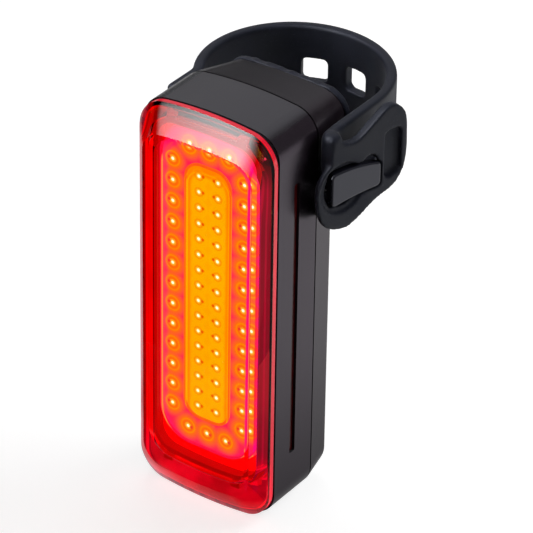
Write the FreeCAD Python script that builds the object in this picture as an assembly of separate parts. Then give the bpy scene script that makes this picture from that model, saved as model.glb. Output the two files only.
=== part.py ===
import FreeCAD, Part
import math
import os

# Bicycle tail light, millimetres. Drawn about the middle of the casing's front rim:
# X across the lens, Y from the lens back to the seat post, Z up. At the end every
# piece is moved so that the origin is the axis of the post, half way up the strap.
V = FreeCAD.Vector

# Body
body_width = 28.6
body_height = 80.0
body_corner = 5.0
crown_radius = 75.0         # the top and bottom ends are slightly arched
wall = 1.6
fit_gap = 0.15              # clearance round pieces that slip into each other
slip_gap = 0.3              # clearance round soft or moving pieces

# Lens
lens_depth = 4.0            # the cap stands this far in front of the rim
lens_rim = 0.9              # straight wall at the lens's edge
facet_side = 4.6            # curved facets run from here to the flat face, at the sides
facet_end = 5.0             # and at the top and the bottom
facet_stations = ((0.0, 0.0), (0.69, 0.6), (1.0, 1.0))    # share of the inset, share of the depth
face_corner = 4.5
lens_front_wall = 2.0
lens_tongue = 1.6           # spigot that enters the casing
well_width = 22.8
well_height = 70.0
well_middle = 1.8           # the well sits a little high in the lens
well_corner = 4.5
gasket_thickness = 0.35
gasket_inset = 0.25

# Light board
board_front = 1.2
board_thickness = 1.0
board_width = 22.2
board_height = 69.2
array_middle = 3.0
outer_pitch = 4.24
outer_rows = 13
outer_columns_apart = 15.25
end_columns = 3
end_columns_apart = 4.16
end_row_step = 3.7
inner_pitch = 3.18
inner_rows = 16
inner_columns_apart = 4.06
chip = 1.0
chip_height = 0.5
gel_height = 0.8
dam_height = 1.0
dam_width = 0.5
outer_zone_width = 19.6
outer_zone_height = 64.2
outer_zone_corner = 6.2
inner_zone_width = 9.1
inner_zone_height = 52.0
inner_zone_corner = 3.0
bezel_wall = 0.9
bezel_height = 1.8
lug_width = 1.9
lug_spread = 7.4
lug_reach = 0.7
lug_thickness = 1.0

# Heat plate and the ledge that it rests on
plate_thickness = 1.0
ledge_depth = 1.0
ledge_width = 1.0

# Casing, side windows and seam
casing_depth = 11.5
window_front = 4.8
window_width = 1.6
window_height = 55.9
window_middle = 0.3
window_recess = 0.5
window_flange = 0.5         # lip each side of the slot, inside
window_flange_depth = 1.2
seam_gap = 0.3
seal_width = 0.9
seal_inset = 0.45

# Rear housing and the saddle that meets the post
housing_back = 18.2
housing_back_round = 1.5
saddle_back = 22.6
saddle_bottom = 13.0
saddle_depth = 1.0          # the saddle is hollowed this much at its middle
side_taper = 1.7            # the housing narrows by this on each side, seam to saddle
end_taper = 2.0             # and by this at the top and the bottom
cavity_back = 16.4
saddle_cavity_back = 19.8   # the hollow runs deeper behind the saddle
saddle_wall = 2.4
pad_thickness = 1.25
pad_overhang = 0.35         # the pad's lip stands out past the saddle

# Inside
main_board_gap = 0.6
main_board_size = (19.6, 1.0, 52.0)
frame_plate = 1.0
frame_rim = 3.0
frame_size = (22.4, 50.0)
frame_ear = (13.0, 37.9)    # width of the ears and how far they reach from the middle
battery_size = (20.0, 8.0, 46.0)
battery_middle = 1.0
foam_inset = 4.0
wire_radius = 0.5
wire_places = (4.0, 6.0)
wire_drop = 1.2
usb_board_size = (13.0, 10.2, 1.0)
usb_board_bottom = -30.6
usb_size = (8.9, 7.3, 3.2)
usb_wall = 0.35
shelf_inner = 4.9           # shelves under the edges of the charging board
shelf_thickness = 1.0
switch_size = (4.5, 4.0, 2.6)

# Power button in the bottom of the rear housing
button_length = 9.0
button_width = 3.2
button_proud = 0.5
button_flange = 0.5
button_travel = 0.7
button_y = 14.1

# Charging port cover in the back
cover_width = 12.6
cover_height = 7.0
cover_thickness = 1.1
cover_corner = 1.0
cover_recess_corner = 0.5   # squarer than the cover, which leaves room for its foot to turn
port_width = 9.4
port_height = 3.7
plug_width = 7.3
plug_height = 1.8
plug_length = 1.0

# Screws
screw_spread_x = 9.7
screw_spread_z = 33.0
screw_head = 1.9
screw_head_height = 1.4
screw_shank = 1.0
screw_length = 9.0
boss_radius = 2.9
side_head = 1.7             # screws that hold the hook and the anchor
side_head_height = 1.0
side_screw_length = 4.0

# Strap
strap_thickness = 2.0
strap_height = 18.0
strap_top = 35.6
strap_round = 0.6
loop_radius = 16.0          # inside of the round part
loop_x = -1.5
loop_y = 27.2
relief_radius = 5.0         # reverse bend where the left leg leaves the housing
leg_gap = 0.2
left_leg_end = 9.6
hole_size = 4.8
hole_round = 1.0
hole_pitch = 9.0
hole_count = 6

# Tab, drawn in its own plane: s runs back from the fold, z is up
tab_flare = 16.0            # degrees away from the housing side at rest
tab_thickness = 1.8
fold_radius = 1.8
fold_round = 0.9            # the fold's two ends are rounded over
fold_y = 12.4
fold_gap = 0.05
fold_top = 35.9
fold_bottom = 18.0
lobe_relief = 0.7           # the lobe in front of the fold is thinned on its inner side
buttonhole_radius = 3.7
buttonhole_s = 1.3
buttonhole_ring = 4.9
ring_depth = 0.5
bulge_radius = 1.8
bulge_s = 7.4
finger_points = ((10.6, 23.2), (14.4, 24.5), (14.4, 33.2), (10.6, 33.2))
finger_corner = 1.2
finger_depth = 1.0

# Hook that the tab is buttoned over
hook_y = 15.4
hook_z = 25.3
hook_stem_y = 4.2
hook_stem_z = 4.2
hook_start = -1.4           # the plate's ends, as distances from the fold
hook_end = 9.7
hook_front_half = 3.3
hook_back_half = 2.3
hook_arch = 0.6             # the upper edge rises by this, the lower one hollows by half of it
hook_thickness = 1.5
hook_proud = 0.3            # the plate stands this far outside the tab's face

# Fixed end of the strap
anchor_radius = 3.2
anchor_thickness = 1.4
anchor_stem = 2.0
anchor_y = 14.2

# Derived places
side = body_width / 2
strap_middle = strap_top - strap_height / 2
saddle_y = saddle_back - saddle_depth + pad_thickness
post_radius = 10.0          # thickest bar that the loop takes without being stretched
post_y = saddle_y + post_radius
board_back = board_front + board_thickness
plate_back = board_back + plate_thickness
ledge_back = plate_back + ledge_depth
housing_front = casing_depth + seam_gap
inner_side = side - wall
leg_inner = side + leg_gap
leg_outer = leg_inner + strap_thickness
fold_x = leg_outer + fold_gap + 0.05
origin_shift = V(0, -post_y, -strap_middle)

os.makedirs("parts", exist_ok=True)


def save(name, shapes):
    """One node: a solid, or a group of separate solids."""
    solids = []
    for shape in shapes:
        solids.extend(shape.removeSplitter().Solids)
    node = solids[0] if len(solids) == 1 else Part.makeCompound(solids)
    node = node.copy()
    node.translate(origin_shift)
    node.exportStep("parts/" + name + ".step")


def box(x0, x1, y0, y1, z0, z1):
    return Part.makeBox(x1 - x0, y1 - y0, z1 - z0, V(x0, y0, z0))


def rod(radius, start, end):
    run = end - start
    return Part.makeCylinder(radius, run.Length, start, run)


def edges_along(shape, axis):
    """Straight edges of a shape that run along one axis."""
    found = []
    for edge in shape.Edges:
        if len(edge.Vertexes) == 2 and isinstance(edge.Curve, Part.Line):
            run = edge.Vertexes[1].Point - edge.Vertexes[0].Point
            if abs(abs(run.normalize().dot(axis)) - 1) < 1e-6:
                found.append(edge)
    return found


def rounded_box(x0, x1, y0, y1, z0, z1, radius, axis):
    """Box with the four edges along one axis rounded."""
    block = box(x0, x1, y0, y1, z0, z1)
    return block.makeFillet(radius, edges_along(block, axis))


def taper_at(y):
    """Share of the rear housing's taper reached at a depth."""
    return (y - housing_front) / (saddle_back - housing_front)


def side_at(y):
    return side - side_taper * taper_at(y)


def bottom_at(y):
    return end_taper * taper_at(y) - body_height / 2


def tapered_body(inset, y0, y1):
    """Rear housing's tapering form between two depths, drawn in by inset all round."""
    wires = []
    for y in (y0, y1):
        outline = crowned_block(2 * (side_at(y) - inset), 2 * (-bottom_at(y) - inset),
                                body_corner - inset, y, y + 1)
        wires.append(front_wire(outline, y))
    return Part.makeLoft(wires, True, True)


def crowned_block(width, height, corner, y0, y1, middle=0.0):
    """Prism along Y whose ends are arched and whose four corners are round."""
    half = width / 2
    rise = crown_radius - math.sqrt(crown_radius ** 2 - half ** 2)
    top = middle + height / 2
    bottom = middle - height / 2
    corners = [V(-half, y0, bottom + rise), V(half, y0, bottom + rise)]
    corners += [V(half, y0, top - rise), V(-half, y0, top - rise)]
    wire = Part.Wire([
        Part.Arc(corners[0], V(0, y0, bottom), corners[1]).toShape(),
        Part.LineSegment(corners[1], corners[2]).toShape(),
        Part.Arc(corners[2], V(0, y0, top), corners[3]).toShape(),
        Part.LineSegment(corners[3], corners[0]).toShape(),
    ])
    block = Part.Face(wire).extrude(V(0, y1 - y0, 0))
    return block.makeFillet(corner, edges_along(block, V(0, 1, 0)))


def screw(head_at, run, head_radius, head_height, shank_radius, length):
    """Pan head and plain shank; run points from the head to the tip."""
    run = V(run).normalize()
    head_end = head_at + run * head_height
    head = rod(head_radius, head_at, head_end)
    shank = rod(shank_radius, head_end, head_end + run * length)
    socket = rod(shank_radius * 0.7, head_at, head_at + run * head_height * 0.6)
    return head.fuse(shank).cut(socket)


def front_wire(block, y):
    """Outline of a block's front face."""
    return [f for f in block.Faces if all(abs(v.Y - y) < 1e-6 for v in f.Vertexes)][0].OuterWire


def lens_cap():
    """Flat face, curved facets that meet it in a crease, and the straight rim."""
    wires = []
    for inset_share, depth_share in facet_stations:
        left = 2 * (1 - inset_share)
        y = (lens_depth - lens_rim) * depth_share - lens_depth
        corner = face_corner + (body_corner - face_corner) * inset_share
        outline = crowned_block(body_width - left * facet_side, body_height - left * facet_end, corner, y, 0)
        wires.append(front_wire(outline, y))
    rim = crowned_block(body_width, body_height, body_corner, -lens_rim, 0)
    return Part.makeLoft(wires, True).fuse(rim)


def lug_blocks(grow, y1):
    """Lugs by which the bezel snaps into the lens, or with grow the pockets that take them."""
    blocks = []
    half = lug_width / 2 + grow
    for x in (-lug_spread, lug_spread):
        for sign in (-1, 1):
            edge = well_middle + sign * well_height / 2
            z0, z1 = sorted([edge - sign * bezel_wall, edge + sign * (lug_reach + grow)])
            blocks.append(box(x - half, x + half, board_front - bezel_height - grow, y1, z0, z1))
    return blocks


def lens():
    inset = 2 * (wall + fit_gap)
    tongue = crowned_block(body_width - inset, body_height - inset, body_corner - wall, 0, lens_tongue)
    well = crowned_block(well_width, well_height, well_corner, lens_front_wall - lens_depth,
                         lens_tongue, well_middle)
    shape = lens_cap().fuse(tongue).cut(well)
    for pocket in lug_blocks(fit_gap, lens_tongue):
        shape = shape.cut(pocket)
    return shape


def gasket():
    outer = 2 * gasket_inset
    ring = crowned_block(body_width - outer, body_height - outer, body_corner - gasket_inset,
                         0, gasket_thickness)
    hole = crowned_block(body_width - 2 * wall, body_height - 2 * wall, body_corner - wall,
                         0, gasket_thickness)
    return ring.cut(hole)


def zone(width, height, corner, depth):
    """Flat region on the board's front, standing forward by depth."""
    z0 = array_middle - height / 2
    return rounded_box(-width / 2, width / 2, board_front - depth, board_front, z0, z0 + height,
                       corner, V(0, 1, 0))


def chips(places):
    half = chip / 2
    return [box(x - half, x + half, board_front - chip_height, board_front, z - half, z + half)
            for x, z in places]


def outer_places():
    places = []
    for row in range(outer_rows):
        z = array_middle + outer_pitch * (row - (outer_rows - 1) / 2)
        places += [(-outer_columns_apart / 2, z), (outer_columns_apart / 2, z)]
    end_z = outer_pitch * (outer_rows - 1) / 2 + end_row_step
    for column in range(end_columns):
        x = end_columns_apart * (column - (end_columns - 1) / 2)
        places += [(x, array_middle + end_z), (x, array_middle - end_z)]
    return places


def inner_places():
    places = []
    for row in range(inner_rows):
        z = array_middle + inner_pitch * (row - (inner_rows - 1) / 2)
        places += [(-inner_columns_apart / 2, z), (inner_columns_apart / 2, z)]
    return places


def light_board():
    """Board, the two groups of chips, the two gels and the dams that hold them."""
    outer_chips = chips(outer_places())
    inner_chips = chips(inner_places())
    grow = 2 * dam_width
    outer_gel_block = zone(outer_zone_width, outer_zone_height, outer_zone_corner, gel_height)
    outer_dam_block = zone(outer_zone_width + grow, outer_zone_height + grow,
                           outer_zone_corner + dam_width, dam_height)
    inner_dam_block = zone(inner_zone_width + grow, inner_zone_height + grow,
                           inner_zone_corner + dam_width, dam_height)
    inner_gel_block = zone(inner_zone_width, inner_zone_height, inner_zone_corner, gel_height)
    inner_hollow = zone(inner_zone_width, inner_zone_height, inner_zone_corner, dam_height)
    outer_hollow = zone(outer_zone_width, outer_zone_height, outer_zone_corner, dam_height)
    board = crowned_block(board_width, board_height, well_corner - slip_gap, board_front, board_back,
                          well_middle)
    save("cob_board", [board])
    save("outer_leds", outer_chips)
    save("inner_leds", inner_chips)
    save("outer_dam", [outer_dam_block.cut(outer_hollow)])
    save("inner_dam", [inner_dam_block.cut(inner_hollow)])
    save("outer_gel", [outer_gel_block.cut(inner_dam_block).cut(Part.makeCompound(outer_chips))])
    save("inner_gel", [inner_gel_block.cut(Part.makeCompound(inner_chips))])


def bezel():
    """Frame that lines the foot of the well and presses the board down."""
    grow = 2 * (bezel_wall + fit_gap)
    ring = crowned_block(well_width - 2 * fit_gap, well_height - 2 * fit_gap, well_corner - fit_gap,
                         board_front - bezel_height, board_front, well_middle)
    hole = crowned_block(well_width - grow, well_height - grow, well_corner - bezel_wall,
                         board_front - bezel_height, board_front, well_middle)
    ring = ring.cut(hole)
    for lug in lug_blocks(0, board_front - bezel_height + lug_thickness):
        ring = ring.fuse(lug)
    return ring


def heat_plate():
    inset = 2 * (wall + fit_gap)
    return crowned_block(body_width - inset, body_height - inset, body_corner - wall - fit_gap,
                         board_back, plate_back)


def window_slot(sign, grow, x_in, x_out):
    """The slot's space, grown all round, between two distances from the middle."""
    y0 = window_front - grow
    y1 = window_front + window_width + grow
    z0 = window_middle - window_height / 2 - grow
    z1 = window_middle + window_height / 2 + grow
    xs = sorted([sign * x_in, sign * x_out])
    return rounded_box(xs[0], xs[1], y0, y1, z0, z1, 0.4, V(1, 0, 0))


def side_window(sign):
    face = window_slot(sign, -fit_gap / 2, inner_side, side - window_recess)
    flange = window_slot(sign, window_flange, inner_side - window_flange_depth, inner_side)
    return face.fuse(flange)


def screw_places():
    return [(x, z) for x in (-screw_spread_x, screw_spread_x) for z in (-screw_spread_z, screw_spread_z)]


def front_casing():
    shell = crowned_block(body_width, body_height, body_corner, gasket_thickness, casing_depth)
    inside = 2 * wall
    bore = crowned_block(body_width - inside, body_height - inside, body_corner - wall,
                         gasket_thickness, casing_depth)
    ledge_in = inside + 2 * ledge_width
    ledge = crowned_block(body_width - inside, body_height - inside, body_corner - wall,
                          plate_back, ledge_back)
    ledge = ledge.cut(crowned_block(body_width - ledge_in, body_height - ledge_in,
                                    body_corner - wall - ledge_width, plate_back, ledge_back))
    casing = shell.cut(bore).fuse(ledge)
    for x, z in screw_places():
        boss = rod(boss_radius, V(x, plate_back, z), V(x, casing_depth, z))
        hole = rod(screw_shank + fit_gap / 3, V(x, plate_back + ledge_depth, z), V(x, casing_depth, z))
        casing = casing.fuse(boss.common(shell)).cut(hole)
    for sign in (-1, 1):
        casing = casing.cut(window_slot(sign, 0, inner_side - fit_gap, side + fit_gap))
    return casing


def casing_seal():
    outer = 2 * seal_inset
    inner = 2 * (seal_inset + seal_width)
    ring = crowned_block(body_width - outer, body_height - outer, body_corner - seal_inset,
                         casing_depth, housing_front)
    hole = crowned_block(body_width - inner, body_height - inner, body_corner - seal_inset - seal_width,
                         casing_depth, housing_front)
    return ring.cut(hole)


def saddle_arch(back):
    """Upright cylinder that hollows the saddle; back is its depth at the middle."""
    radius = (side ** 2 + saddle_depth ** 2) / (2 * saddle_depth)
    centre = V(0, back + radius, -body_height)
    return Part.makeCylinder(radius, 2 * body_height, centre, V(0, 0, 1))


def cover_space(grow, corner, y0, y1):
    width = cover_width / 2 + grow
    middle = usb_middle()
    return rounded_box(-width, width, y0, y1, middle - cover_height / 2 - grow,
                       middle + cover_height / 2 + grow, corner, V(0, 1, 0))


def usb_middle():
    return usb_board_bottom + usb_board_size[2] + usb_size[2] / 2


def pill(width, height, y0, y1, middle):
    """Round-ended slot through the back wall."""
    return rounded_box(-width / 2, width / 2, y0, y1, middle - height / 2, middle + height / 2,
                       height / 2 - 0.01, V(0, 1, 0))


def button_pill(grow, z0, z1):
    half = button_width / 2 + grow
    return rounded_box(-button_length / 2 - grow, button_length / 2 + grow, button_y - half,
                       button_y + half, z0, z1, half - 0.01, V(0, 0, 1))


def side_seat(y):
    """Distance from the middle to the flat seat under a side screw's head."""
    return side_at(y - side_head) - wall


def rear_housing():
    form = tapered_body(0, housing_front, saddle_back)
    lower = form.common(box(-side, side, housing_front, housing_back, -body_height, body_height))
    rims = [e for e in lower.Edges if all(abs(v.Y - housing_back) < 1e-6 for v in e.Vertexes)]
    lower = lower.makeFillet(housing_back_round, rims)
    lower = lower.common(box(-side, side, housing_front, housing_back, -body_height, saddle_bottom))
    saddle = form.common(box(-side, side, housing_front, saddle_back, saddle_bottom, body_height))
    saddle = saddle.cut(saddle_arch(saddle_back - saddle_depth))
    outer = lower.fuse(saddle)
    deep = tapered_body(saddle_wall, housing_front, saddle_cavity_back)
    deep = deep.common(box(-side, side, housing_front, saddle_back, saddle_bottom + saddle_wall, body_height))
    body = outer.cut(tapered_body(wall, housing_front, cavity_back)).cut(deep)
    for x, z in screw_places():
        boss = rod(boss_radius, V(x, housing_front, z), V(x, saddle_back, z))
        body = body.fuse(boss.common(outer))
    for sign in (-1, 1):
        xs = sorted([sign * shelf_inner, sign * screw_spread_x])
        body = body.fuse(box(xs[0], xs[1], housing_front, cavity_back + fit_gap,
                             usb_board_bottom - shelf_thickness, usb_board_bottom))
    for x, z in screw_places():
        hole = rod(screw_shank + fit_gap, V(x, housing_front, z), V(x, saddle_back, z))
        sink = rod(screw_head + fit_gap, V(x, screw_head_y(), z), V(x, saddle_back + 1, z))
        body = body.cut(hole).cut(sink)
    body = body.cut(cover_space(fit_gap, cover_recess_corner, housing_back - cover_thickness,
                                housing_back + 1))
    body = body.cut(pill(port_width, port_height, cavity_back - 1, housing_back, usb_middle()))
    body = body.cut(button_pill(fit_gap, bottom_at(housing_front) - 1, bottom_at(button_y) + wall + 1))
    for sign, y, z in ((1, hook_y, hook_z), (-1, anchor_y, strap_middle)):
        seat = V(sign * side_seat(y), y, z)
        through = V(sign * 2 * wall, 0, 0)
        body = body.cut(rod(screw_shank + fit_gap, seat, seat + through))
        body = body.cut(rod(side_head + fit_gap, seat - through, seat))
    return body


def screw_head_y():
    """Depth of the seat under each housing screw's head."""
    return cavity_back - 0.6


def saddle_pad():
    front = saddle_back - saddle_depth
    sheet = crowned_block(2 * (side_at(saddle_back) + pad_overhang),
                          2 * (-bottom_at(saddle_back) + pad_overhang), body_corner + pad_overhang,
                          housing_front, saddle_back + 2 * pad_thickness)
    sheet = sheet.common(box(-side, side, housing_front, saddle_back + 2 * pad_thickness,
                             saddle_bottom, body_height))
    return sheet.common(saddle_arch(front)).cut(saddle_arch(front + pad_thickness))


def inside_parts():
    """Driver board, the frame that carries it and the battery, the cell, its foam and its wires."""
    half = main_board_size[0] / 2
    y0 = plate_back + main_board_gap
    y1 = y0 + main_board_size[1]
    z_half = main_board_size[2] / 2
    board = box(-half, half, y0, y1, -z_half, z_half)
    frame_y = y1 + 0.1
    fx = frame_size[0] / 2
    fz = frame_size[1] / 2
    bx = battery_size[0] / 2
    bz0 = battery_middle - battery_size[2] / 2
    bz1 = battery_middle + battery_size[2] / 2
    by0 = frame_y + frame_plate
    by1 = by0 + battery_size[1]
    frame = box(-fx, fx, frame_y, by0 + frame_rim, battery_middle - fz, battery_middle + fz)
    for z0, z1 in ((-frame_ear[1], -z_half - 1), (z_half + 1, frame_ear[1])):
        frame = frame.fuse(box(-frame_ear[0] / 2, frame_ear[0] / 2, ledge_back, by0, z0, z1))
    for sign in (-1, 1):
        frame = frame.fuse(box(-frame_ear[0] / 2, frame_ear[0] / 2, frame_y, by0,
                               *sorted([sign * fz / 2, sign * (z_half + 1)])))
    frame = frame.cut(box(-bx - fit_gap, bx + fit_gap, by0, by0 + frame_rim, bz0 - fit_gap, bz1 + fit_gap))
    notch = wire_radius + slip_gap
    frame = frame.cut(box(wire_places[0] - notch, wire_places[1] + notch, frame_y, by0 + frame_rim,
                          bz0 - wire_drop - notch, bz0))
    screw_z = z_half - 2.5
    screw_radius = wire_radius
    head = 0.5
    screws = []
    for z in (-screw_z, screw_z):
        hole = rod(screw_radius + fit_gap / 3, V(0, y0, z), V(0, by0, z))
        board = board.cut(hole)
        frame = frame.cut(hole)
        screws.append(screw(V(0, y0 - head, z), V(0, 1, 0), 2 * screw_radius, head, screw_radius,
                            by0 - y0 - 0.1))
    cell = rounded_box(-bx, bx, by0, by1, bz0, bz1, 2.0, V(0, 0, 1))
    foam = box(foam_inset - bx, bx - foam_inset, by1, cavity_back, bz0 + foam_inset,
               saddle_bottom - foam_inset)
    wires = []
    for x in wire_places:
        turn = by0 + frame_rim / 2
        down = V(x, turn, bz0 - wire_drop)
        out = rod(wire_radius, V(x, turn, bz0), down)
        run = rod(wire_radius, down, V(x, y1, bz0 - wire_drop))
        ball = Part.makeSphere(wire_radius, down)
        wires.append(out.fuse(run).fuse(ball))
    save("main_board", [board])
    save("inner_frame", [frame])
    save("board_screws", screws)
    save("battery_cell", [cell])
    save("battery_foam", [foam])
    save("battery_lead", wires)


def usb_parts():
    bx = usb_board_size[0] / 2
    y1 = cavity_back - fit_gap
    y0 = y1 - usb_board_size[1]
    z0 = usb_board_bottom
    z1 = z0 + usb_board_size[2]
    save("usb_board", [box(-bx, bx, y0, y1, z0, z1)])
    ux = usb_size[0] / 2
    uz1 = z1 + usb_size[2]
    back = housing_back - cover_thickness - fit_gap
    can = rounded_box(-ux, ux, back - usb_size[1], back, z1, uz1, usb_size[2] / 2 - 0.2, V(0, 1, 0))
    space = rounded_box(-ux + usb_wall, ux - usb_wall, back - usb_size[1] + 1.5, back,
                        z1 + usb_wall, uz1 - usb_wall, usb_size[2] / 2 - 0.6, V(0, 1, 0))
    tongue = box(-ux + 1.2, ux - 1.2, back - usb_size[1] + 1.4, back - 2.0, usb_middle() - 0.35,
                 usb_middle() + 0.35)
    save("usb_socket", [can.cut(space).fuse(tongue)])
    sx = switch_size[0] / 2
    sy = switch_size[1] / 2
    body = box(-sx, sx, button_y - sy, button_y + sy, z0 - switch_size[2], z0)
    save("tact_switch", [body])


def power_button():
    """Cap that follows the housing's end, inner flange and the stem that reaches the switch."""
    flange_y = button_y + button_width / 2 + button_flange
    flange_z = bottom_at(flange_y) + wall + slip_gap
    cap = button_pill(0, -body_height, flange_z)
    cap = cap.common(tapered_body(-button_proud, housing_front, cavity_back))
    flange = button_pill(button_flange, flange_z, flange_z + 0.8)
    tip = usb_board_bottom - switch_size[2] - button_travel - 0.1
    stem = rod(button_width / 2 - 0.4, V(0, button_y, flange_z), V(0, button_y, tip))
    return cap.fuse(flange).fuse(stem)


def usb_cover():
    """Flap with a round hinge edge at its foot and a plug that fills the port."""
    inner = housing_back - cover_thickness + fit_gap / 2
    foot = (housing_back - inner) / 2
    hinge_z = usb_middle() - cover_height / 2 + foot
    hinge_y = housing_back - foot
    edge = rod(foot, V(-cover_width, hinge_y, hinge_z), V(cover_width, hinge_y, hinge_z))
    above = box(-cover_width, cover_width, inner, housing_back, hinge_z, hinge_z + 2 * cover_height)
    flap = cover_space(0, cover_corner, inner, housing_back).common(edge.fuse(above))
    plug = pill(plug_width, plug_height, inner - plug_length, inner, usb_middle())
    lip_z = usb_middle() + cover_height / 2
    lift = box(-2.2, 2.2, housing_back, housing_back + 0.5, lip_z - 1.2, lip_z - 0.2)
    return flap.fuse(plug).fuse(lift)


def strap_side(offset):
    """Edges of one face of the strap in plan; offset is the distance from the inner face."""
    z = strap_middle - strap_height / 2
    left = -leg_inner - offset
    right = leg_inner + offset
    bend = loop_radius + offset
    relief = relief_radius - offset
    relief_x = -leg_inner - relief_radius
    span = loop_radius + relief_radius
    drop = math.sqrt(span ** 2 - (loop_x - relief_x) ** 2)
    relief_y = loop_y - drop
    angle = math.atan2(-drop, relief_x - loop_x)
    centre = V(loop_x, loop_y, z)

    def on_loop(a):
        return centre + V(bend * math.cos(a), bend * math.sin(a), 0)

    meet = on_loop(angle)
    relief_centre = V(relief_x, relief_y, z)
    mid_turn = (angle + math.pi) / 2
    relief_mid = relief_centre + V(relief * math.cos(mid_turn), relief * math.sin(mid_turn), 0)
    relief_end = V(left, relief_y, z)
    right_turn = math.acos((right - loop_x) / bend) if right - loop_x < bend else 0.0
    top_mid = on_loop((math.pi * 2 + angle + right_turn) / 2)
    start = V(right, fold_y, z)
    return [
        Part.LineSegment(start, on_loop(right_turn)).toShape(),
        Part.Arc(on_loop(right_turn), top_mid, meet).toShape(),
        Part.Arc(meet, relief_mid, relief_end).toShape(),
        Part.LineSegment(relief_end, V(left, left_leg_end, z)).toShape(),
    ]


def strap_hole(distance):
    """Cutter for one square hole, at a distance along the strap from the hook."""
    half = hole_size / 2
    reach = 4 * strap_thickness
    cutter = rounded_box(-reach, reach, -half, half, strap_middle - half, strap_middle + half,
                         hole_round, V(1, 0, 0))
    straight = loop_y - hook_y
    if distance <= straight:
        cutter.translate(V(leg_inner, hook_y + distance, 0))
        return cutter
    turn = (distance - straight) / (loop_radius + strap_thickness / 2)
    cutter.rotate(V(0, 0, 0), V(0, 0, 1), math.degrees(turn))
    middle = loop_radius + strap_thickness / 2
    cutter.translate(V(loop_x + middle * math.cos(turn), loop_y + middle * math.sin(turn), 0))
    return cutter


def strap_band():
    inner = strap_side(0)
    outer = strap_side(strap_thickness)
    ends = [Part.LineSegment(inner[0].Vertexes[0].Point, outer[0].Vertexes[0].Point).toShape()]
    ends.append(Part.LineSegment(inner[-1].Vertexes[1].Point, outer[-1].Vertexes[1].Point).toShape())
    wire = Part.Wire(Part.__sortEdges__(inner + outer + ends))
    band = Part.Face(wire).extrude(V(0, 0, strap_height))
    levels = (strap_top, strap_top - strap_height)
    rims = [e for e in band.Edges if any(all(abs(v.Z - level) < 1e-6 for v in e.Vertexes)
                                         for level in levels)]
    band = band.makeFillet(strap_round, rims)
    fold = Part.makeCylinder(fold_radius + fold_gap, 2 * body_height, V(fold_x, fold_y, -body_height))
    band = band.cut(fold)
    for number in range(1, hole_count):
        band = band.cut(strap_hole(number * hole_pitch))
    y_half = hook_stem_y / 2 + slip_gap
    z_half = hook_stem_z / 2 + slip_gap
    band = band.cut(rounded_box(side, 2 * side, hook_y - y_half, hook_y + y_half, hook_z - z_half,
                                hook_z + z_half, hole_round, V(1, 0, 0)))
    return band.cut(rod(anchor_stem + slip_gap, V(-side, anchor_y, strap_middle),
                        V(-2 * side, anchor_y, strap_middle)))


def tab_frame(shape):
    """Moves a shape from the tab's own plane (s along +Y, outside along +X) to its place."""
    shape.rotate(V(0, 0, 0), V(0, 0, 1), -tab_flare)
    shape.translate(V(fold_x, fold_y, 0))
    return shape


def tab_outline():
    """The tab's free edge as (s, z) points, from the top of the fold to its foot."""
    points = [(-1.2, 35.6), (1.7, 34.0), (3.9, 33.5), (6.4, 34.7), (9.1, 36.6), (12.0, 38.0)]
    points += [(14.7, 36.4), (15.7, 32.0), (15.5, 26.2), (13.2, 22.0), (9.3, 20.4), (5.3, 18.1)]
    points += [(1.4, 16.8), (-2.4, 18.6), (-4.1, 22.4), (-4.0, 27.2), (-1.3, 30.4)]
    return points


def tab_edge():
    points = [V(0, s, z) for s, z in tab_outline()]
    curve = Part.BSplineCurve()
    curve.interpolate(points)
    return Part.Wire([curve.toShape(), Part.LineSegment(points[-1], points[0]).toShape()])


def hook_outline(grow):
    """Plate of the hook: deeper in front, arched above, slightly hollow below."""
    s0 = hook_start - grow
    s1 = hook_end + grow
    front = hook_front_half + grow
    back = hook_back_half + grow
    z = hook_z
    middle = (s0 + s1) / 2
    half = (front + back) / 2
    upper = Part.Arc(V(0, s0, z + front), V(0, middle, z + half + hook_arch), V(0, s1, z + back))
    lower = Part.Arc(V(0, s1, z - back), V(0, middle, z - half + hook_arch / 2), V(0, s0, z - front))
    wire = Part.Wire([upper.toShape(), Part.LineSegment(V(0, s1, z + back), V(0, s1, z - back)).toShape(),
                      lower.toShape(), Part.LineSegment(V(0, s0, z - front), V(0, s0, z + front)).toShape()])
    return Part.Face(wire)


def hook_block(grow, x0, x1, corner):
    block = hook_outline(grow)
    block.translate(V(x0, 0, 0))
    block = block.extrude(V(x1 - x0, 0, 0))
    return block.makeFillet(corner, edges_along(block, V(1, 0, 0)))


def strap_tab():
    outer_face = fold_radius
    inner_face = outer_face - tab_thickness
    edge = tab_edge()
    edge.translate(V(inner_face, 0, 0))
    plate = Part.Face(edge).extrude(V(tab_thickness, 0, 0))
    relief = box(inner_face, inner_face + lobe_relief, -side, -fold_radius, 0, body_height)
    plate = plate.cut(relief)
    fold = Part.makeCylinder(fold_radius, fold_top - fold_bottom, V(0, 0, fold_bottom))
    fold = fold.makeFillet(fold_round, [e for e in fold.Edges if len(e.Vertexes) == 1])
    tab = plate.fuse(fold)
    reach = 2 * fold_radius
    hole = rod(buttonhole_radius, V(-reach, buttonhole_s, hook_z), V(reach, buttonhole_s, hook_z))
    bulge_z = hook_z + hook_back_half + slip_gap
    bulge = rod(bulge_radius, V(-reach, bulge_s, bulge_z), V(reach, bulge_s, bulge_z))
    neck = hook_block(slip_gap, -reach, reach, 1.0)
    ring = rod(buttonhole_ring, V(outer_face - ring_depth, buttonhole_s, hook_z),
               V(reach, buttonhole_s, hook_z))
    tab = tab.cut(hole.fuse(bulge).fuse(neck)).cut(ring)
    corners = [V(outer_face - finger_depth, s, z) for s, z in finger_points]
    finger = Part.Face(Part.makePolygon(corners + corners[:1])).extrude(V(reach, 0, 0))
    finger = finger.makeFillet(finger_corner, edges_along(finger, V(1, 0, 0)))
    return tab_frame(tab.cut(finger))


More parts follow.
